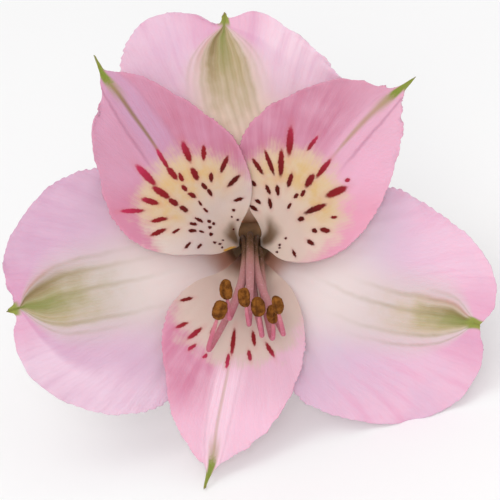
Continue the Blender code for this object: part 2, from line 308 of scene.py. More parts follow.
# Outer tepals: three broad petals of thin soft tissue on narrow claws, notched at the end round a small
# green point. Olive veins run together into that point.
OUTER_BELL = dict(mouth=4.04, flare=67.3, bore=1.0)
LIMB_START = 8.0
LIMB_FULL = 26.0
NIBBLED_OVER = 10.0
NARROW_SIDE = 7.0
GROOVE_WIDTH = 0.22
SOLID_HALF = 0.35
BLADE = 0.34
RIM = 0.2
RIB_WIDTH = 0.8
SHELF_EDGE = 2.25
SHELF_LEVEL = 2.7
SHELF_DROP = 1.4
SHELF_INWARD = 0.11
CHANNEL_DEPTH = 0.12
CHANNEL_WIDTH = 0.95
LAP_START = 3.5
LAP_END = 19.0
RINGS_A_ROW = 18
POINTS_ACROSS = 91
# The eye's place. The skins' patterns lie in the face as it looks from there.
EYE = (0.0, -1.17, 450.0)

# Each row is one line across the tepal, from the claw to the tip, as seen from the front:
# left bearing, left radius, midrib bearing, midrib radius, right bearing, right radius.
TOP_OUTER = (
    (128, 3.37, 90, 3.37, 52, 3.37),
    (124, 3.9, 90, 3.9, 56, 3.9),
    (122, 4.8, 90, 4.8, 58, 4.8),
    (124, 7.2, 90, 7, 56, 7.2),
    (128, 13.5, 92, 13, 52, 13.5),
    (130.5, 21.5, 97, 20, 53, 20.5),
    (130, 28, 98, 26, 58, 26),
    (124.5, 33, 97.8, 29.6, 67, 28.6),
    (115, 35.8, 97.4, 30.5, 79, 31.4),
    (105.5, 34.5, 97.1, 31, 88, 33.7),
    (99, 31.9, 96.8, 31.8, 94.7, 32.8),
    (96.5, 33.4, 96.3, 33.7, 96.1, 33.4),
)
LEFT_OUTER = (
    (248, 3.37, 210, 3.37, 172, 3.37),
    (244, 3.9, 210, 3.9, 176, 3.9),
    (241, 4.8, 211, 4.8, 181, 4.8),
    (238, 7.2, 207, 7, 177, 7.2),
    (239, 13.5, 203, 13, 167, 13),
    (243.5, 20, 199.5, 19.5, 158, 19),
    (243.5, 25.4, 197.6, 26, 154, 24),
    (234.5, 30.8, 197, 31, 162, 29.2),
    (222, 35.1, 196.4, 33, 171.5, 32.7),
    (210.5, 37.3, 196, 33.8, 181, 35.4),
    (202.5, 37.1, 196, 34.4, 189, 35.9),
    (197.8, 35.7, 196, 35.1, 194, 35.2),
    (196.2, 36.6, 196, 36.8, 195.8, 36.6),
)
RIGHT_OUTER = (
    (8, 3.37, -30, 3.37, -68, 3.37),
    (4, 3.9, -30, 3.9, -64, 3.9),
    (-2, 4.8, -32, 4.8, -62, 4.8),
    (0, 7.2, -33, 7, -65, 7.2),
    (9, 13, -31.5, 13, -71, 13),
    (20, 18.5, -28.5, 19.5, -75.5, 19),
    (21.2, 22.0, -24.5, 26, -72, 24),
    (10, 27.3, -21.8, 30.5, -61, 29.4),
    (-0.5, 32.8, -20.8, 33, -50, 34.5),
    (-9, 36, -20.3, 33.8, -38, 38),
    (-15, 36.7, -20, 34.3, -28, 38.1),
    (-18, 36.1, -19.9, 34.9, -22.3, 36.2),
    (-19.7, 35.6, -19.9, 35.6, -20.1, 35.6),
)


def tepal_rings(rows, bell, bend, groove, wave, turns, start, gather, crimp=1.0, lap=(0, 1, 0), shelf=0.0):
    """Rings round a tepal, from its claw to its tip, and what the material reads at each point.

    Bearing runs evenly from the midrib to each margin, and radius with the square of that share. Depth is
    the trumpet's, plus the bend of the limb, less a bell curve along the midrib for its groove, plus waves
    that grow with the fourth power of the share, radial folds as a sine of the bearing, and a lap, a bell
    curve of the bearing that lifts one margin over its neighbour's. A shelf, an exponential of the radius,
    brings the claw's end level and in over the throat, less a bell curve for the channel along its middle.
    The margin is nibbled by sines of the place along it. The front of the sheet stands off this surface by
    what is left of its thickness over the solid's back, and a ring runs over the front from left to right
    and home over the back. A vein's distance aside is divided by the hyperbolic tangent of its way to the
    radius where the veins gather. `bend`, `groove`, `wave` and `shelf` are heights in millimetres, `turns`
    and `start` the waves' number and phase, and `crimp` a share of the nibbling and the frill. `lap` is
    a bearing, a width in degrees and a height, and `gather` a radius and the length the veins curve in.
    """
    at = np.linspace(0, len(rows) - 1, RINGS_A_ROW * (len(rows) - 1) + 1)
    lines = through(rows, at).T[:, :, None]
    left_bearing, left_radius, rib_bearing, rib_radius, right_bearing, right_radius = lines
    even = np.linspace(1, -1, POINTS_ACROSS)[None, :]
    across = 0.55 * np.sin(even * math.pi / 2) + 0.45 * even
    side = np.sign(across)
    spread = np.where(across > 0, left_bearing - rib_bearing, rib_bearing - right_bearing)
    half_width = rib_radius * np.radians(spread)
    aside = across * half_width

    along = at[:, None] * 3.1 + side + start
    jag = np.abs(np.sin(2.3 * along)) + 0.8 * np.abs(np.sin(5.9 * along + side))
    jag = jag + 0.6 * np.sin(11.3 * along) - 1.1
    broad = np.clip(half_width / NARROW_SIDE, 0, 1)
    nibble = 0.16 * crimp * np.clip((rib_radius - LIMB_START) / NIBBLED_OVER, 0, 1) * broad * jag
    bearing = rib_bearing + spread * across * (1 + nibble / np.maximum(half_width, 1) * np.abs(across) ** 12)
    edge_radius = np.where(across > 0, left_radius, right_radius)
    radius = rib_radius + (edge_radius - rib_radius) * across**2

    limb = np.clip((radius - LIMB_START) / (LIMB_FULL - LIMB_START), 0, 1)
    relief = limb * broad
    ripple = np.sin(2 * math.pi * turns * at[:, None] / at[-1] + start + across)
    frill = np.sin(1.9 * along) * np.sin(0.83 * along + 1)
    folds = np.sin(0.62 * bearing + start) * np.sin(0.23 * bearing + 2 * start)
    depth = bell["mouth"] - bell["flare"] / (radius - bell["bore"])
    depth = depth + bend * limb**2 - groove * relief * np.exp(-((across / GROOVE_WIDTH) ** 2))
    depth = depth + relief * (wave * across**4 * ripple + 0.3 * crimp * np.abs(across) ** 9 * frill)
    depth = depth + 0.22 * relief * folds * np.clip(2 * np.abs(across) - 0.5, 0, 1)

    on_shelf = shelf * np.clip((radius - SHELF_EDGE) / (SHELF_LEVEL - SHELF_EDGE), 0, 1)
    channel = CHANNEL_DEPTH * np.exp(-((aside / CHANNEL_WIDTH) ** 2))
    depth = depth + on_shelf * np.exp((SHELF_LEVEL - radius) / SHELF_DROP) * (1 - channel)
    lap_bearing, lap_width, lap_height = lap
    lapped = np.clip((radius - LAP_START) / 2, 0, 1) * np.clip((LAP_END - radius) / 6, 0, 1)
    depth = depth + lap_height * lapped * np.exp(-(((bearing - lap_bearing) / lap_width) ** 2))

    turn = np.radians(bearing)
    plan = radius - SHELF_INWARD * on_shelf * np.exp((SHELF_LEVEL - radius) / 0.9)
    middle = np.stack([plan * np.cos(turn), plan * np.sin(turn), depth], axis=2)
    normal = np.cross(np.gradient(middle, axis=1), np.gradient(middle, axis=0))
    normal /= np.maximum(np.linalg.norm(normal, axis=2, keepdims=True), 1e-9)
    normal *= np.sign(normal[..., 2:].mean())
    to_tip = np.linalg.norm(middle - middle[-1, POINTS_ACROSS // 2], axis=2)
    rim = np.maximum((1 - np.abs(across)) * half_width, 0)
    thick = RIM + (BLADE - RIM) * np.clip(rim / 2, 0, 1) + 0.25 * np.clip(1 - limb * 2, 0, 1)
    thick = thick + 0.12 * np.exp(-((aside / RIB_WIDTH) ** 2)) * np.clip(half_width / 3, 0, 1)
    thick = np.minimum(thick, 2 * SOLID_HALF)[..., None]
    slim = np.clip(0.3 + to_tip / 4, 0, 1)[..., None]
    front = middle + normal * (thick - SOLID_HALF) * slim
    back = middle - normal * SOLID_HALF * slim
    rings = np.concatenate([front, back[:, ::-1]], axis=1)

    gathering = np.tanh(np.maximum(gather[0] - radius, 0.15) / gather[1])
    sheet = {"vein": aside / gathering, "fan": across * spread, "reach": radius, "tip": to_tip, "rim": rim}
    marks = {mark: np.concatenate([values, values[:, ::-1]], axis=1) for mark, values in sheet.items()}
    marks["back"] = np.concatenate([np.zeros(radius.shape), np.ones(radius.shape)], axis=1)
    off_eye = EYE[2] / (EYE[2] - rings[..., 2])
    marks["face"] = np.stack([rings[..., 0] * off_eye, EYE[1] + (rings[..., 1] - EYE[1]) * off_eye], axis=2)
    return rings, marks


def skin_marks(wire):
    """The per-point numbers of a tepal as wires, and its place in the face as the eye sees it."""
    marks = {
        mark: wire.node("Attribute", {"attribute_name": mark}, {}, "Fac")
        for mark in ("vein", "fan", "reach", "tip", "rim", "back")
    }
    marks["face"] = wire.node("UVMap", {"uv_map": "face"}, {})
    return marks


NOTCH_PINK = colour(208, 132, 168)
VEIN_OLIVE = colour(144, 128, 78)
DUSK_SHADE_OLIVE = colour(122, 100, 58)
STREAK_RED = colour(184, 128, 118)
LEAF_GREEN = colour(118, 128, 54)
POINT_GREEN = colour(138, 146, 68)
OUTER_BACK_PINK = colour(214, 180, 196)
OUTER_BACK_OLIVE = colour(146, 152, 98)


def outer_skin(name, lobes, fair, pale, low, wash, dusk, veins, green, throats):
    """Thin soft skin of an outer tepal.

    Lobe colours run from the middle out to the margin, then mottle and rays. Past a place aside the lobe
    is fairer: `fair` is where that starts and is full, and its colour. A pale spindle lies along the midrib
    and an olive wash over it near the tip, each given as a colour, a half-width and a length. A dusky
    streak of painted shade, given as its middle, half-width and length, and a reddish edge, given as its
    place aside, lie on one side of the wash. Vein lines run down the tepal into the tip: `veins` are
    millimetres aside, how far from the tip the line is still seen, and its strength. `green` is the leaf
    green's length from the tip and its half-width. The low part is painted light, lighter towards the
    throat against the shade that falls there, and the throat is browned, partly the claws' own olive brown
    and partly painted shade; each lies between two distances from the bloom's axis.
    """
    material, wire = new_finish(name)
    mark = skin_marks(wire)
    face, fan, reach, tip, back = mark["face"], mark["fan"], mark["reach"], mark["tip"], mark["back"]
    cloud = face.noise(0.13, 2)
    patch = face.noise(0.42, 3)
    grain = face.noise(2.6, 2)
    vein = mark["vein"] + 0.7 * (face.noise(0.35, 3) - 0.5)
    rays = face.node("CombineXYZ", {}, {"X": fan * 0.3, "Y": reach * 0.06}).noise(1.0, 4)
    pleat = (fan * 4.6 + 9 * (patch - 0.5)).sine() * (fan * 1.7 + 6 * cloud).sine()

    lobe = (reach + 12 * (cloud - 0.5)).rise(16, 33)
    base = lobe.tint(colour(*lobes[0]), colour(*lobes[1]))
    base = (cloud.rise(0.35, 0.7) * 0.5).tint(base, colour(*lobes[2]))
    start, full, shade = fair
    fairer = (vein + 3 * (cloud - 0.5)).rise(start, full) * reach.rise(19, 29)
    base = (fairer * 0.4).tint(base, colour(*shade))
    base = (rays.rise(0.48, 0.72) * reach.rise(18, 32) * 0.45).tint(base, colour(*lobes[3]))
    base = (pleat.rise(0.2, 1) * reach.rise(20, 32) * 0.07).tint(base, colour(*lobes[3]))
    base = (tip.rise(9, 3) * abs(vein).rise(3, 7) * 0.45).tint(base, NOTCH_PINK)
    shade, half, seen = pale
    spindle = abs(vein).rise(half * 1.6, half * 0.35) * tip.rise(seen + 8, seen - 8)
    base = (spindle * 0.9).tint(base, colour(*shade))
    # Painted light: the low part is lighter towards the throat, against the shade that falls there.
    shade, start, full = low
    base = (reach.rise(start, full) * 0.9).tint(base, colour(*shade))

    streak = (vein * 8.5 + 5 * (face.noise(0.3, 2) - 0.5)).sine() * (vein * 3.7 + 1).sine()
    shade, half, seen = wash
    core = abs(vein + 1.2 * (patch - 0.5)).rise(half + 0.9, half - 1.8)
    core = core * (tip + 9 * (patch - 0.5)).rise(seen, seen * 0.25)
    base = (core * (0.86 + 0.12 * streak)).tint(base, colour(*shade))
    lines = (vein.near(aside, 0.62) * tip.rise(far, far * 0.3) * strength for aside, far, strength in veins)
    lines = reduce(Wire.most, lines) * (0.6 + 0.4 * patch.rise(0.3, 0.7))
    base = (lines * 0.55).tint(base, VEIN_OLIVE)
    # Painted shade: a dusky olive streak along one side of the wash.
    middle, half, seen, edge = dusk
    shadow = (tip + 5 * (patch - 0.5)).rise(seen, seen * 0.2) * vein.near(middle, half)
    base = (shadow * 0.85).tint(base, DUSK_SHADE_OLIVE)
    base = (vein.near(edge, 0.9) * tip.rise(12, 4) * 0.5).tint(base, STREAK_RED)
    seen, half = green
    leafy = (tip + 5 * (patch - 0.5)).rise(seen, seen * 0.1) * abs(vein).rise(half, half * 0.1)
    base = (leafy * 0.88).tint(base, LEAF_GREEN)
    point = tip.rise(2.6, 1.4) * (abs(fan) - 0.5 * tip).rise(1.0, 0.4)
    base = point.tint(base, POINT_GREEN)
    # Painted shade, partly: the throat tones are the claws' own olive brown, darker stage by stage towards
    # the axis.
    for start, full, shade in throats:
        base = ((reach + 1.5 * (patch - 0.5)).rise(start, full) * 0.85).tint(base, colour(*shade))

    base = (back * 0.4).tint(base, OUTER_BACK_PINK)
    stripe = back * vein.near(0, 1.7) * reach.rise(4, 10)
    base = (stripe * 0.8).tint(base, OUTER_BACK_OLIVE)
    height = 0.02 * pleat * reach.rise(18, 30) + 0.012 * streak * core - 0.03 * lines + 0.02 * grain
    finish_with(wire, base, 0.5 + 0.12 * patch, height, 0.2)
    return material


# Throat stages of the side tepals: the claws' own olive brown, partly painted shade deep in the throat.
SIDE_THROAT_SHADES = ((8.0, 4.3, (208, 140, 102)), (4.5, 3.5, (140, 98, 66)))
# In each outer tepal's paints, `low` is painted light near the throat and `throats` are brown stages, partly
# painted shade.
TOP_PAINTS = dict(
    lobes=((224, 196, 208), (222, 188, 206), (214, 174, 200), (208, 152, 184)),
    fair=(-9, -13, (242, 218, 228)),
    pale=((212, 192, 176), 5.4, 30),
    low=((250, 232, 216), 24, 15),
    wash=((170, 152, 110), 3.9, 22),
    dusk=(2.4, 1.7, 13, 4.7),
    veins=(
        (6.2, 18, 0.5), (5.0, 20, 0.3), (3.9, 22, 0.7), (2.4, 26, 0.4), (1.3, 22, 0.3), (0.2, 30, 0.6),
        (-0.9, 26, 0.3), (-2.2, 24, 0.5), (-3.4, 24, 0.8), (-4.7, 18, 0.4), (-5.9, 15, 0.4),
    ),
    green=(11, 2.0),
    throats=((6.5, 3.8, (232, 188, 150)), (4.4, 3.5, (212, 160, 122)), (3.9, 3.4, (196, 146, 108))),
)
LEFT_PAINTS = dict(
    lobes=((204, 174, 194), (202, 160, 186), (214, 182, 202), (196, 148, 178)),
    fair=(11, 17, (240, 218, 230)),
    pale=((200, 188, 182), 6.2, 27),
    low=((236, 222, 218), 24, 9),
    wash=((172, 156, 116), 4.6, 20),
    dusk=(-3.5, 2.4, 15, -5.7),
    veins=(
        (-5.4, 25, 0.8), (-3.5, 27, 0.8), (-6.6, 9, 0.5), (-2.1, 14, 0.5), (-0.7, 28, 0.9),
        (0.8, 14, 0.4), (1.9, 14, 0.5), (3.0, 12, 0.4), (4.0, 27, 0.9), (5.7, 22, 0.6),
    ),
    green=(14, 2.7),
    throats=SIDE_THROAT_SHADES,
)
RIGHT_PAINTS = dict(
    # The right tepal's first lobe colour, a greyer lilac towards its middle, is partly painted shade beside
    # the upper right inner tepal.
    lobes=((202, 176, 198), (224, 180, 202), (206, 174, 198), (218, 148, 182)),
    fair=(3, 9, (236, 198, 216)),
    pale=((206, 190, 188), 5.6, 28),
    low=((232, 220, 218), 24, 9),
    wash=((188, 168, 128), 3.2, 18),
    dusk=(1.5, 1.5, 11, 3.3),
    veins=(
        (0.8, 29, 0.8), (3.1, 22, 0.9), (4.4, 12, 0.6), (1.9, 12, 0.5),
        (-0.6, 14, 0.5), (-1.8, 16, 0.5), (-3.0, 25, 0.8), (-4.9, 22, 0.7),
    ),
    green=(11.5, 2.5),
    throats=SIDE_THROAT_SHADES,
)

TOP_FORM = dict(bend=-1.0, groove=0.2, wave=0.7, turns=2.2, start=0.4, gather=(31.9, 4.0))
LEFT_FORM = dict(bend=0.3, groove=0.2, wave=0.7, turns=2.4, start=1.9, gather=(34.9, 4.0))
RIGHT_FORM = dict(bend=-0.4, groove=0.2, wave=0.8, turns=2.0, start=3.1, gather=(34.9, 4.0))
outer_tepals = (
    ("top", TOP_OUTER, TOP_FORM, TOP_PAINTS),
    ("left", LEFT_OUTER, LEFT_FORM, LEFT_PAINTS),
    ("right", RIGHT_OUTER, RIGHT_FORM, RIGHT_PAINTS),
)
for place, rows, form, paints in outer_tepals:
    rings, marks = tepal_rings(rows, OUTER_BELL, **form)
    skin = outer_skin(f"outer_skin_{place}", **paints)
    add_loft(f"outer_tepal_{place}_blade", rings, skin, f"outer_tepal_{place}", marks)


# Inner tepals: two upper ones side by side and one lower. Each is narrower than an outer one, folded along
# a groove, creamy in its middle with rows of dark red flecks, and drawn out into a green point.
INNER_BELL = dict(mouth=8.31, flare=85.3, bore=-0.39)
UPPER_LEFT_INNER = (
    (197, 2.22, 178, 2.22, 147, 2.22),
    (200, 2.7, 176, 2.7, 154, 2.7),
    (200, 3.5, 156, 3.5, 116.5, 3.5),
    (200, 5, 147, 4.8, 93.6, 4.9),
    (193.5, 7.8, 142, 7.8, 87.9, 7.6),
    (189, 11.6, 138.5, 12, 92.6, 11.2),
    (181, 16.3, 136.5, 16.5, 99.6, 15.4),
    (170, 20.2, 134, 20.8, 108, 19),
    (157, 23.5, 132.6, 24.9, 117, 24),
    (145, 27.5, 131.7, 28, 122.5, 28.2),
    (137.3, 29.2, 131.5, 30.1, 127, 30.5),
    (132.4, 32, 131.3, 32.2, 130.2, 32.4),
    (130.05, 34.8, 129.9, 35, 129.75, 34.8),
)
UPPER_RIGHT_INNER = (
    (33, 2.22, 0, 2.22, -16, 2.22),
    (25, 2.7, 2, 2.7, -20, 2.7),
    (66, 3.5, 14, 3.5, -24, 3.5),
    (89.6, 4.9, 34, 4.8, -29, 5),
    (91.5, 7.6, 41, 7.8, -23, 7.6),
    (95.5, 11.2, 44, 12, -10, 11.9),
    (95, 14.8, 45.6, 16.3, 2, 15.4),
    (83, 19.4, 46.5, 20.6, 14, 18.9),
    (71, 23, 46.6, 24.5, 25, 22.7),
    (59, 27.2, 46.2, 27.6, 34, 26.2),
    (50.5, 29.1, 45.8, 29.4, 40.7, 28.6),
    (46.9, 30.5, 45.5, 30.9, 44.1, 30.5),
    (45.05, 33.4, 44.9, 33.6, 44.75, 33.4),
)
LOWER_INNER = (
    (310, 2.22, 270, 2.22, 230, 2.22),
    (309, 2.7, 270, 2.7, 231, 2.7),
    (307, 3.5, 269, 3.5, 231, 3.5),
    (309, 5.3, 266, 5, 227, 5.6),
    (312, 8.5, 263, 8.2, 216.5, 9.4),
    (306, 12.8, 261.5, 12.8, 218, 14),
    (298, 16.9, 260.6, 17.5, 226.5, 18.5),
    (289, 21, 260, 22.5, 237, 22.6),
    (281, 24.4, 259.8, 26.4, 245, 27.2),
    (274, 27.9, 260, 29.4, 251.5, 30),
    (267, 30.6, 260.2, 31.2, 256, 32.1),
    (261.6, 33.1, 260.2, 33.3, 258.9, 33),
    (259.6, 36.2, 259.45, 36.4, 259.3, 36.2),
)

# Flecks on the inner tepals, in millimetres of the face: middle X, middle Y, bearing, length and width.
FLECKS_UPPER_LEFT = (
    (-15.0, 9.9, -46, 4.2, 1.09), (-12.8, 7.4, -33, 3.1, 1.02), (-11.0, 6.0, -34, 1.7, 0.88),
    (-9.5, 5.0, -32, 1.4, 0.73), (-14.4, 6.1, -16, 2.7, 0.88), (-17.0, 4.7, 2, 3.5, 0.66),
    (-13.1, 3.4, 11, 2.5, 0.66), (-13.2, 1.6, 22, 2.5, 0.73), (-10.6, 1.8, 30, 1.2, 0.44),
    (-12.6, 12.3, -58, 3.4, 0.66), (-11.2, 10.2, -50, 2.4, 0.88), (-9.9, 9.6, -63, 1.4, 0.66),
    (-9.4, 8.0, -50, 1.2, 0.66), (-8.3, 7.0, -27, 1.4, 0.66), (-7.1, 5.8, -59, 0.9, 0.44),
    (-6.3, 4.8, -45, 0.9, 0.44), (-9.1, 13.3, -68, 3.3, 1.02), (-7.9, 10.1, -63, 2.1, 0.95),
    (-6.5, 8.3, -50, 1.2, 0.66), (-5.7, 7.4, -60, 1.2, 0.58), (-6.6, 13.2, -90, 2.3, 0.73),
    (-5.5, 9.6, -90, 1.4, 0.66), (-3.6, 11.5, 66, 2.7, 0.73), (-2.2, 9.1, 43, 2.5, 0.73),
    (-1.5, 6.4, 18, 1.5, 0.51), (-7.3, 3.4, -27, 1.4, 0.44), (-8.1, 2.8, -8, 1.1, 0.51),
    (-8.2, 1.8, 0, 1.2, 0.51), (-6.9, 1.7, -11, 0.8, 0.36), (-8.9, -0.3, 45, 1.3, 0.44),
    (-7.2, -0.4, 45, 0.9, 0.44), (-2.2, 4.8, 0, 0.5, 0.44), (-2.5, 3.8, 0, 0.3, 0.29),
    (-1.6, 3.4, 18, 0.5, 0.36), (-2.2, 2.0, 0, 0.3, 0.26), (-5.8, 3.2, -34, 0.6, 0.44),
    (-5.1, 2.8, -45, 0.5, 0.44), (-5.7, 2.3, 0, 0.5, 0.44), (-5.5, 1.3, -7, 0.6, 0.47),
    (-5.0, 0.1, 0, 0.5, 0.34), (-4.2, -0.1, 0, 0.5, 0.34), (-3.9, -0.6, 0, 0.3, 0.26),
    (-3.8, 0.4, 0, 0.3, 0.26),
)
FLECKS_UPPER_RIGHT = (
    (1.3, 11.2, -56, 2.8, 0.66), (3.0, 11.8, -69, 3.9, 0.66), (4.7, 11.7, 88, 4.0, 0.88),
    (6.0, 14.9, 86, 4.3, 1.02), (9.3, 14.6, 54, 2.6, 0.58), (6.0, 9.2, 74, 2.2, 0.73),
    (10.9, 10.9, 52, 3.5, 0.8), (8.9, 9.1, 58, 2.3, 1.02), (7.9, 7.3, 56, 1.1, 0.58),
    (6.9, 6.9, 45, 0.9, 0.58), (5.9, 5.4, 63, 1.0, 0.44), (2.8, 7.8, -66, 1.5, 0.58),
    (4.2, 7.7, -84, 1.5, 0.66), (3.1, 5.8, -79, 1.6, 0.58), (0.7, 8.7, -51, 1.0, 0.58),
    (1.3, 6.1, -34, 1.1, 0.51), (0.7, 5.1, -37, 1.5, 0.58), (12.8, 7.5, 24, 3.4, 1.17),
    (14.4, 9.2, 22, 0.8, 0.58), (9.7, 5.0, 23, 3.5, 0.88), (7.6, 3.5, 18, 1.0, 0.73),
    (12.4, 3.8, 0, 0.9, 0.44), (11.1, 1.9, -11, 1.6, 0.73), (9.6, 1.8, -31, 0.9, 0.66),
    (9.0, 0.1, -36, 1.3, 0.66), (6.6, -1.5, -67, 1.2, 0.44), (5.4, 0.7, 23, 0.4, 0.35),
    (4.5, -0.3, 23, 0.4, 0.35), (4.1, -1.3, 0, 0.3, 0.29), (4.5, -0.7, 27, 0.3, 0.29),
)
FLECKS_LOWER = (
    (-9.1, -8.2, 13, 2.0, 0.51), (-9.8, -12.0, 23, 2.0, 0.58), (-7.9, -13.2, 38, 2.7, 0.73),
    (-8.3, -15.2, 37, 1.5, 0.58), (-5.2, -12.6, 61, 1.6, 0.58), (-6.4, -16.5, 45, 0.9, 0.51),
    (-2.3, -14.4, 83, 3.9, 0.66), (-3.1, -17.2, 82, 2.2, 0.58), (0.7, -13.9, -82, 2.2, 0.66),
    (0.1, -16.4, -79, 1.6, 0.66), (3.1, -15.6, -60, 2.5, 0.66),
)


MARGIN_PINK = colour(228, 166, 190)
CREASE_SHADE_MAUVE = colour(168, 112, 136)
CLAW_PAINTED_LIGHT = colour(250, 230, 216)
HUSK_OLIVE = colour(158, 140, 92)
TIP_GREEN = colour(122, 136, 46)
FLECK_BROWN = colour(84, 9, 2)
FLECK_RED = colour(132, 12, 22)
FLECK_ROSE = colour(178, 38, 78)
FLECK_HALO = colour(196, 100, 100)
NECTAR = colour(255, 196, 96)
INNER_BACK_PINK = colour(216, 170, 190)
INNER_BACK_OLIVE = colour(150, 152, 96)


def share_of(place, x, y, bearing, length, width):
    """How far a place is from the middle of an oval, as a share of the oval's own two half-measures."""
    inputs = {"Vector": place, "Location": (x, y, 0), "Rotation": (0, 0, math.radians(bearing))}
    inputs["Scale"] = (length, width, 1)
    own = place.node("Mapping", {"vector_type": "TEXTURE"}, inputs)
    return place.node("VectorMath", {"operation": "LENGTH"}, {0: own}, "Value")


def fleck_reach(place, flecks):
    """The place's share of the way out from the nearest fleck's middle to that fleck's edge."""
    shares = (share_of(place, *spot, length / 2, width / 2) for *spot, length, width in flecks)
    return reduce(Wire.least, shares)


def inner_skin(name, flecks, cream, tones, pinks, flushes, band, creases, midrib, channel, drop):
    """Skin of an inner tepal.

    Cream fills an oval round the flecks: its middle, bearing, half-length and half-width. Its tones are
    the oval's own, the warmer one among the flecks and the greyer one low down and by the throat, which is
    partly painted shade and partly painted light: grey as in shade, but lighter, against the shade that
    falls there. Nearest the throat the claw is painted light too, a pale cream. Outside the oval the pink
    runs from the left margin's colour to the right one's, flushed between two heights in the face. A paler
    band, partly painted light where the fold bulges forward, lies along the midrib between two distances
    aside, with crease lines of painted shade, each given by its distance aside and its strength, and the
    point is green. `midrib` is its colour, its strength, its half-width, and how much wider it grows near
    the tip. `channel` is the brown of the claw's middle, partly its own and partly painted shade in its
    groove, the two distances from the axis between which it comes, its half-width in degrees, and where
    the claw's light lip starts. `drop` is a spot of nectar, given as a fleck is. Both are painted lighter
    than they look, because they lie deep in the bloom.
    """
    material, wire = new_finish(name)
    mark = skin_marks(wire)
    face, fan, reach, tip, back = mark["face"], mark["fan"], mark["reach"], mark["tip"], mark["back"]
    up = face.node("SeparateXYZ", {}, {0: face}, "Y")
    cloud = face.noise(0.16, 2)
    patch = face.noise(0.5, 3)
    grain = face.noise(2.8, 2)
    midline = mark["vein"]
    vein = midline + 0.35 * (face.noise(0.6, 2) - 0.5)
    pleat = (fan * 5.2 + 8 * (patch - 0.5)).sine() * (fan * 2.1 + 5 * cloud).sine()
    rays = face.node("CombineXYZ", {}, {"X": fan * 0.3, "Y": reach * 0.07}).noise(1.0, 4)

    left, right, light = (colour(*pink) for pink in pinks)
    base = (vein + 3 * (cloud - 0.5)).rise(4.5, -4.5).tint(left, right)
    base = ((0.6 * cloud + 0.4 * rays).rise(0.38, 0.72) * 0.6).tint(base, light)
    for start, full, shade in flushes:
        base = ((up + 4 * (cloud - 0.5)).rise(start, full) * 0.6).tint(base, colour(*shade))
    base = (pleat.rise(0.2, 1) * reach.rise(16, 24) * 0.1).tint(base, light)
    base = (tip.rise(15, 7) * 0.5).tint(base, light)
    base = (mark["rim"].rise(0.7, 0.05) * 0.2).tint(base, MARGIN_PINK)
    # Painted light, partly: the paler band where the fold bulges forward; the crease lines are painted shade
    # along the folds.
    low, high, shade = band
    paler = vein.rise(low - 1.0, low + 0.5) * vein.rise(high + 1.6, high - 0.6) * reach.rise(12, 21)
    base = (paler * (0.85 + 0.15 * pleat)).tint(base, colour(*shade))
    lines = (vein.near(aside, 0.42) * reach.rise(15, 21) * strength for aside, strength in creases)
    lines = reduce(Wire.most, lines)
    base = (lines * 0.55).tint(base, CREASE_SHADE_MAUVE)

    oval = share_of(face, *cream) + 0.5 * (patch - 0.5) + 0.3 * (cloud - 0.5) + 0.05 * pleat
    plain, warm, shade_grey = (colour(*tone) for tone in tones)
    milky = oval.rise(1.26, 0.82)
    base = milky.tint(base, plain)
    warmth = oval.near(0.62, 0.5) * (0.3 + patch.rise(0.35, 0.7)) * (0.3 + up.rise(-1, 6))
    base = (warmth * 0.8).tint(base, warm)
    # Painted shade and light: the greyer tone low down and by the throat is grey as in shade but kept light,
    # and nearest the throat the claw is painted a pale cream, lighter than it looks, against the shade there.
    base = (milky * up.rise(4.5, -1.5) * 0.75).tint(base, shade_grey)
    base = (reach.rise(12, 6) * 0.8).tint(base, shade_grey)
    base = (reach.rise(8, 4) * 0.9).tint(base, CLAW_PAINTED_LIGHT)
    # Partly painted shade: the claw's brown channel is partly its own brown, partly the shade in its groove.
    shade, start, full, half, lip = channel
    groove_shade = (reach + 0.8 * (patch - 0.5)).rise(start, full) * abs(fan).rise(half, half * 0.3)
    groove_shade = groove_shade * reach.rise(lip, lip + 0.5)
    base = (groove_shade * 0.9).tint(base, colour(*shade))

    shade, strength, slender, broad = midrib
    rib = midline.near(0, slender + broad * tip.rise(17, 6)) * reach.rise(15, 21)
    base = (rib * strength).tint(base, colour(*shade))
    husk = tip.rise(9, 4.5) * abs(midline).rise(1.5, 0.6)
    base = (husk * 0.6).tint(base, HUSK_OLIVE)
    leafy = (tip + 2 * (grain - 0.5)).rise(5.4, 3.6) * abs(midline).rise(1.2, 0.6)
    base = (leafy.most(tip.rise(3.0, 2.2)) * 0.95).tint(base, TIP_GREEN)

    shifted = face.node("TexNoise", {}, {"Vector": face, "Scale": 2.6, "Detail": 2.0}, "Color")
    shift = face.node("VectorMath", {"operation": "SCALE"}, {0: shifted, "Scale": 0.34})
    uneven = face.node("VectorMath", {"operation": "ADD"}, {0: face, 1: shift})
    fleck = fleck_reach(uneven, flecks)
    mottled = reach + 4 * (patch - 0.5)
    stain = mottled.rise(9, 15).tint(FLECK_BROWN, FLECK_RED)
    stain = mottled.rise(14.5, 19.5).tint(stain, FLECK_ROSE)
    base = (fleck.rise(2.2, 0.9) * 0.22).tint(base, FLECK_HALO)
    base = (fleck.rise(1.22, 0.8) * (1 - 0.72 * back)).tint(base, stain)
    if drop:
        nectar = fleck_reach(uneven, (drop,)).rise(1.2, 0.7)
        base = (nectar * (1 - back)).tint(base, NECTAR)

    base = (back * 0.35).tint(base, INNER_BACK_PINK)
    stripe = back * vein.near(0, 1.2) * reach.rise(4, 10)
    base = (stripe * 0.75).tint(base, INNER_BACK_OLIVE)
    height = 0.015 * pleat * reach.rise(14, 24) - 0.05 * lines - 0.05 * rib + 0.02 * grain
    finish_with(wire, base, 0.5 + 0.12 * patch, height, 0.2)
    return material


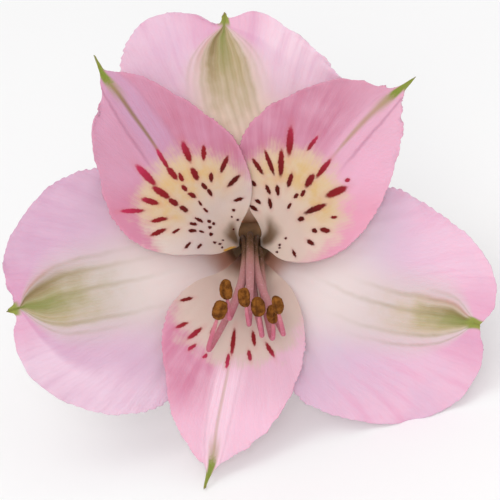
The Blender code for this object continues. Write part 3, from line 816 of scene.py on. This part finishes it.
UPPER_LEFT_PAINTS = dict(
    flecks=FLECKS_UPPER_LEFT,
    cream=(-7.3, 4.4, 135, 8.9, 7.9),
    tones=((206, 182, 158), (208, 174, 124), (218, 202, 200)),
    pinks=((198, 142, 166), (188, 116, 140), (204, 150, 176)),
    flushes=((11, 4, (196, 114, 140)),),
    band=(-2.6, 1.2, (192, 146, 174)),
    creases=((2.3, 1.0), (-3.0, 0.3)),
    midrib=((134, 106, 74), 0.9, 0.38, 0.3),
    channel=((138, 100, 62), 5.0, 3.6, 30, 2.5),
    drop=(-2.8, -0.85, 20, 2.1, 0.6),
)
UPPER_RIGHT_PAINTS = dict(
    flecks=FLECKS_UPPER_RIGHT,
    cream=(5.1, 5.1, 45, 8.4, 8.0),
    tones=((210, 186, 160), (208, 176, 126), (224, 202, 194)),
    pinks=((188, 116, 142), (222, 168, 192), (216, 168, 188)),
    flushes=((10, 4, (218, 142, 166)),),
    band=(-1.6, 0.8, (216, 166, 188)),
    creases=((-2.2, 0.9), (1.4, 0.2)),
    midrib=((166, 136, 104), 0.75, 0.4, 0.55),
    channel=((126, 92, 58), 5.9, 3.7, 32, 2.5),
    drop=None,
)
LOWER_PAINTS = dict(
    flecks=FLECKS_LOWER,
    cream=(-1.3, -8.4, 263, 8.6, 9.4),
    tones=((200, 178, 170), (204, 180, 162), (206, 182, 172)),
    pinks=((216, 170, 190), (196, 122, 150), (222, 180, 198)),
    flushes=((-20, -28, (242, 196, 218)),),
    band=(-1.8, 1.8, (232, 196, 212)),
    creases=((1.9, 0.3), (-1.8, 0.3)),
    midrib=((170, 146, 110), 0.5, 0.38, 0.1),
    channel=((136, 80, 54), 6.9, 3.9, 90, 1.0),
    drop=None,
)

UPPER_LEFT_FORM = dict(bend=1.2, groove=0.5, wave=0.5, turns=2.5, start=0.9, gather=(35.7, 6.5))
UPPER_RIGHT_FORM = dict(bend=1.6, groove=0.5, wave=0.5, turns=2.3, start=2.4, gather=(33.8, 6.5))
LOWER_FORM = dict(bend=-1.4, groove=0.4, wave=0.6, turns=2.1, start=4.0, gather=(36.6, 6.5))
INNER_CRIMP = 0.8
LAP_OVER = dict(lap=(88, 8, 0.5), shelf=8.3)
LAP_UNDER = dict(lap=(92, 8, -0.5), shelf=8.3)
inner_tepals = (
    ("upper_left", UPPER_LEFT_INNER, UPPER_LEFT_FORM, LAP_OVER, UPPER_LEFT_PAINTS),
    ("upper_right", UPPER_RIGHT_INNER, UPPER_RIGHT_FORM, LAP_UNDER, UPPER_RIGHT_PAINTS),
    ("lower", LOWER_INNER, LOWER_FORM, {}, LOWER_PAINTS),
)
for place, rows, form, lapped, paints in inner_tepals:
    rings, marks = tepal_rings(rows, INNER_BELL, **form, crimp=INNER_CRIMP, **lapped)
    skin = inner_skin(f"inner_skin_{place}", **paints)
    add_loft(f"inner_tepal_{place}_blade", rings, skin, f"inner_tepal_{place}", marks)


# Filaments: six soft pink threads that rise from the crown of the ovary, lie down along the lower tepal
# and curl up at the end, each into its anther.
FOOT = CROWN - 0.05
FILAMENT_RING = 1.2
FILAMENT_RISE = 9.0
FILAMENT_RADII = ([0, 1, 2, 3, 4, 5, 5.7, 6], [0.42, 0.46, 0.52, 0.62, 0.42, 0.34, 0.3, 0.2])
ANTHER_LENGTH = 3.3
SUNK_IN_ANTHER = 0.25

# Bearing in the ring on the crown, then the way out: in the throat, along the lower tepal, into the bend
# and out of it, and last the middle of the anther.
STAMENS = (
    (150, (-0.65, -1.1, -5), (-1.05, -5.4, 4.6), (-2.6, -10.2, 9.6), (-3.0, -10.6, 12.0), (-3.3, -6.7, 15)),
    (210, (-0.75, -2.2, -5), (-1.6, -7.0, 3.2), (-5.2, -14.4, 7.4), (-5.9, -15.0, 9.4), (-4.3, -9.7, 14)),
    (90, (0, 0, -5), (0, -4.9, 5.2), (-0.1, -11.0, 9.4), (-0.2, -11.4, 11.6), (-0.75, -7.9, 14.8)),
    (270, (0.4, -2.5, -5), (0.5, -7.2, 3.0), (1.6, -12.7, 7.8), (1.6, -13.0, 10.2), (1.1, -9.2, 13.4)),
    (30, (0.68, -1.1, -5), (1.28, -5.5, 4.5), (4.3, -12.2, 9.8), (4.7, -12.8, 12.2), (3.75, -8.9, 16.4)),
    (330, (1.5, -2.1, -5), (1.9, -7.0, 3.2), (2.9, -13.0, 6.6), (3.3, -13.6, 9.0), (3.35, -10.3, 12.0)),
)


def thread_rings(knots, radii, sides=24, pieces=24):
    """Rings round a Catmull-Rom line through the knots, and each point's share of the way along it.

    `radii` gives positions along the line, counted in knots, and the radius at each, which runs evenly
    between them. Each ring stands square to the line, from a first direction square to the line and to X.
    """
    at = np.linspace(0, len(knots) - 1, pieces * (len(knots) - 1) + 1)
    line = through(knots, at)
    ahead = np.gradient(line, axis=0)
    ahead /= np.linalg.norm(ahead, axis=1, keepdims=True)
    first = np.cross(ahead, [1.0, 0.02, 0.0])
    first /= np.linalg.norm(first, axis=1, keepdims=True)
    second = np.cross(ahead, first)
    turn = np.linspace(0, 2 * math.pi, sides + 1)[None, :-1, None]
    radius = np.interp(at, *radii)[:, None, None]
    rings = line[:, None] + radius * (np.cos(turn) * first[:, None] + np.sin(turn) * second[:, None])
    return rings, np.repeat(at[:, None] / (len(knots) - 1), sides, axis=1)


THREAD_HALF_SHADE = colour(150, 106, 92)
THREAD_DEEP_SHADE = colour(84, 60, 34)
THREAD_GLINT = colour(226, 176, 190)


def thread_skin(name, inner, outer, tip):
    """Glistening soft skin of a thread: brown painted shade deep in the throat, then one colour to its bend,
    one to its tip.
    """
    material, wire = new_finish(name)
    place = wire.node("TexCoord", {}, {}, "Object")
    along = wire.node("Attribute", {"attribute_name": "along"}, {}, "Fac")
    cloud = place.noise(420, 3)
    grain = place.noise(2600, 2)
    base = (along + 0.2 * (cloud - 0.5)).rise(0.5, 0.78).tint(colour(*inner), colour(*outer))
    base = (along + 0.06 * (cloud - 0.5)).rise(0.9, 0.97).tint(base, colour(*tip))
    # Painted shade: the thread turns rust brown, then dark brown, where it runs deep into the throat; it is
    # also rougher there.
    base = along.rise(0.5, 0.38).tint(base, THREAD_HALF_SHADE)
    deep = along.rise(0.45, 0.35)
    base = deep.tint(base, THREAD_DEEP_SHADE)
    base = (grain.rise(0.5, 0.75) * 0.2).tint(base, THREAD_GLINT)
    finish_with(wire, base, 0.38 + 0.2 * grain + 0.42 * deep, 0.02 * grain + 0.03 * cloud, 0.25)
    return material


filament_skin = thread_skin("filament_skin", (170, 120, 120), (186, 100, 120), (192, 116, 128))
leans = []
for number, (bearing, in_throat, along_tepal, into_bend, out_of_bend, middle) in enumerate(STAMENS, 1):
    turn = math.radians(bearing)
    foot = np.array([FILAMENT_RING * math.cos(turn), FILAMENT_RING * math.sin(turn), FOOT])
    lean = np.array(middle, float) - out_of_bend
    lean /= np.linalg.norm(lean)
    leans.append(lean)
    end = np.array(middle) - lean * (ANTHER_LENGTH / 2 - SUNK_IN_ANTHER)
    above = foot + (0, 0, FILAMENT_RISE)
    knots = np.array([foot, above, in_throat, along_tepal, into_bend, out_of_bend, end])
    rings, along = thread_rings(knots, FILAMENT_RADII)
    node = f"filament_{number}"
    add_loft(f"{node}_thread", rings, filament_skin, node, {"along": along})


# Anthers: small egg-shaped heads of pollen sacs on the filaments, brown and grainy, with a furrow down
# the front and the back and a shallower one along each side. Each is given by its half-width, how much
# wider its foot is, and how far its middle bows to the left.
ANTHERS = (
    (0.98, 0.12, 0.1),
    (1.1, -0.05, 0.0),
    (0.92, -0.1, 0.12),
    (1.06, 0.08, -0.05),
    (0.86, 0.04, -0.2),
    (0.9, -0.1, 0.2),
)
ANTHER_RINGS = 61
ANTHER_SIDES = 96
ANTHER_DEPTH = 0.86


def anther_rings(middle, lean, girth, taper, bow, seed):
    """Rings round an egg whose outline is pinched at four furrows and pitted by sines of three sizes.

    The pinch is a power of a cosine of the turn, and it fades towards both ends. The taper is a cosine of
    the way up, and the bow a square of its sine.
    """
    up = np.linspace(0.02, 0.98, ANTHER_RINGS)[:, None] * math.pi
    turn = np.linspace(0, 2 * math.pi, ANTHER_SIDES + 1)[None, :-1]
    body = np.sin(up) ** 0.66 * (1 + taper * np.cos(up))
    furrow = 0.16 * np.abs(np.cos(turn + 0.5 * math.sin(seed))) ** 18 + 0.1 * np.abs(np.sin(turn)) ** 20
    pits = 0.06 * np.sin(3 * turn + 2 * up + seed) * np.sin(4 * up + 2 * seed)
    pits = pits + 0.03 * np.sin(9 * turn + seed) * np.sin(11 * up + 3 * seed)
    pits = pits + 0.02 * np.sin(17 * turn + 2 * seed) * np.sin(23 * up + seed)
    reach = body * (1 - furrow * np.sin(up)) * (1 + pits)
    first = np.cross(lean, [1.0, 0.0, 0.0])
    first /= np.linalg.norm(first)
    second = np.cross(lean, first)
    flat = (ANTHER_DEPTH * reach * np.cos(turn))[..., None] * first
    wide = (girth * reach * np.sin(turn) + bow * np.sin(up) ** 2)[..., None] * second
    tall = (-0.99 * ANTHER_LENGTH / 2 * np.cos(up) + 0 * turn)[..., None] * lean
    return np.array(middle, float) + flat + wide + tall, furrow + 0 * up


POLLEN_BROWNS = (colour(88, 48, 14), colour(142, 88, 34))
POLLEN_GOLD_HIGHLIGHT = colour(168, 112, 54)
FURROW_SHADE_BROWN = colour(70, 36, 8)


def pollen_skin():
    """Dry brown pollen sacs, grainy all over, golden on their grains, partly a painted highlight, and
    darkened by painted shade in the furrows.
    """
    material, wire = new_finish("pollen_sacs")
    place = wire.node("TexCoord", {}, {}, "Object")
    furrow = wire.node("Attribute", {"attribute_name": "furrow"}, {}, "Fac")
    cloud = place.noise(1100, 4)
    grain = wire.node("TexVoronoi", {}, {"Vector": place, "Scale": 6000.0}, "Distance")
    base = cloud.rise(0.3, 0.72).tint(*POLLEN_BROWNS)
    # Partly a painted highlight: golden grains, the pollen's own gold lit up.
    base = (grain.rise(0.45, 0.1) * 0.35).tint(base, POLLEN_GOLD_HIGHLIGHT)
    # Painted shade: darker brown down the furrows.
    base = (furrow.rise(0.04, 0.16) * 0.45).tint(base, FURROW_SHADE_BROWN)
    finish_with(wire, base, 0.85 + 0.1 * grain, 0.05 * cloud - 0.05 * grain, gloss=0.1)
    return material


pollen = pollen_skin()
for number, (stamen, lean, shape) in enumerate(zip(STAMENS, leans, ANTHERS), 1):
    rings, furrow = anther_rings(stamen[-1], lean, *shape, 1.7 * number)
    add_loft(f"anther_{number}_sacs", rings, pollen, f"anther_{number}", {"furrow": furrow})


# Style: the thread in the middle of the six filaments, still short, with three stubby stigma lobes. It is
# soft tissue as theirs is, paler, and grows up from the middle of the ovary's crown.
STYLE_KNOTS = np.array([(0, 0, FOOT), (0, 0, -15), (0, -1.1, -7)])
STYLE_RADII = ([0, 1.6, 1.97, 2], [0.3, 0.24, 0.27, 0.2])
STYLE_SIDES = 24

style_skin = thread_skin("style_skin", (206, 158, 172), (220, 150, 176), (232, 184, 196))
rings, along = thread_rings(STYLE_KNOTS, STYLE_RADII, STYLE_SIDES, pieces=60)
# Over its last tenth each ring follows a cosine of three times the turn, in by up to a quarter of its
# radius and out by up to a tenth.
turn = np.linspace(0, 2 * math.pi, STYLE_SIDES + 1)[None, :-1]
lobed = 1 + 0.25 * np.clip((along - 0.9) / 0.1, 0, 1) * np.cos(3 * turn)
centre = rings.mean(axis=1, keepdims=True)
rings = centre + (rings - centre) * np.minimum(lobed, 1.1)[..., None]
add_loft("style_thread", rings, style_skin, "style", {"along": along})


# Table and light: a plain near-white table top, a broad soft light high on the left, a soft one beside the
# eye, and an even pale sky. The eye stands square to the face of the bloom.
TABLE_HALF = 3.0
BLOOM_MIDDLE = (0, -0.02, 0.03)
PICTURE_WIDTH = 73.0


def table_skin():
    """Smooth matt white, with faint unevenness in its sheen."""
    material, wire = new_finish("white_table_top")
    place = wire.node("TexCoord", {}, {}, "Object")
    cloud = place.noise(14, 3)
    base = cloud.tint(colour(250, 250, 250), colour(247, 247, 248))
    finish_with(wire, base, 0.7 + 0.15 * cloud, 0.0)
    return material


corners = TABLE_HALF * np.array([(-1, -1, 0), (1, -1, 0), (1, 1, 0), (-1, 1, 0)])
top = bpy.data.meshes.new("table_top")
top.from_pydata(corners, [], [(0, 1, 2, 3)])
top.materials.append(table_skin())
table = bpy.data.objects.new("table_top", top)
bpy.context.scene.collection.objects.link(table)


def add_light(name, place, aim, size, power, tone):
    """A square area light at a place in metres, turned to its aim."""
    data = bpy.data.lights.new(name, "AREA")
    data.size = size
    data.energy = power
    data.color = tone
    lamp = bpy.data.objects.new(name, data)
    lamp.location = place
    direction = Vector(aim) - Vector(place)
    lamp.rotation_euler = direction.to_track_quat("-Z", "Y").to_euler()
    bpy.context.scene.collection.objects.link(lamp)


add_light("broad_light", (-0.35, -0.5, 1.2), BLOOM_MIDDLE, 0.8, 2.8, (1.0, 0.985, 0.97))
add_light("front_light", (-0.08, -0.92, 0.58), BLOOM_MIDDLE, 0.35, 2.9, (1.0, 0.99, 0.98))
sky = bpy.data.worlds.new("pale_sky")
sky.use_nodes = True
sky.node_tree.nodes["Background"].inputs["Color"].default_value = (1.0, 1.0, 1.0, 1.0)
sky.node_tree.nodes["Background"].inputs["Strength"].default_value = 0.8
bpy.context.scene.world = sky
bpy.context.scene.view_settings.view_transform = "Standard"

lens = bpy.data.cameras.new("eye")
lens.sensor_width = 36.0
lens.lens = lens.sensor_width * EYE[2] / PICTURE_WIDTH
lens.clip_start = 0.01
camera = bpy.data.objects.new("eye", lens)
camera.rotation_mode = "ZYX"
camera.rotation_euler = (FACE_LEAN, 0, FACE_ROLL)
camera.location = in_world(np.array([EYE]))[0]
bpy.context.scene.collection.objects.link(camera)
bpy.context.scene.camera = camera
